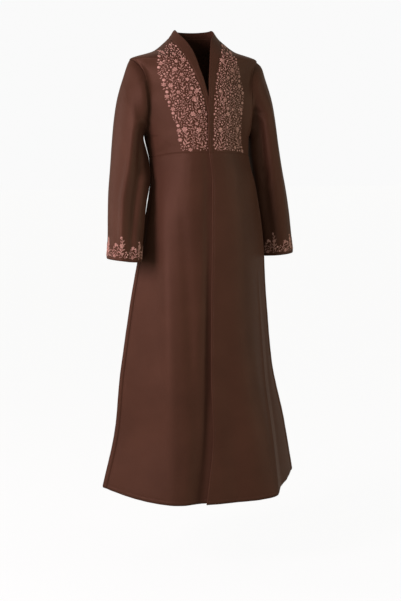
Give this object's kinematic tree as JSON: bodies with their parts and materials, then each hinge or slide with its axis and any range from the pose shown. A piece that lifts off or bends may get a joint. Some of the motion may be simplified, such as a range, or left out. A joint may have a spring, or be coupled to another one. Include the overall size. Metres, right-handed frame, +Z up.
{
  "type": "abaya",
  "caption": "Full-length open-front robe worn closed: embroidered bodice with a standing V neck, long straight sleeves and an A-line skirt, hollow as worn.",
  "frame": {"origin": "midway between the tops of the shoulders, where the wearer carries it", "axes": "+Z up, -Y is the wearer's front, -X the wearer's right"},
  "size_m": [0.599, 0.4175, 1.336],
  "materials": {
    "satin": "stiff chocolate-brown satin with a soft sheen",
    "thread": "dusty pink embroidery thread"
  },
  "bodies": {
    "root": {"neck_band_back": "satin", "back": "satin", "neck_band_right": "satin", "front_bodice_right": "satin", "front_skirt_right": "satin", "sleeve_right": "satin", "neck_band_left": "satin", "front_bodice_left": "satin", "front_skirt_left": "satin", "sleeve_left": "satin"}
  },
  "joints": []
}
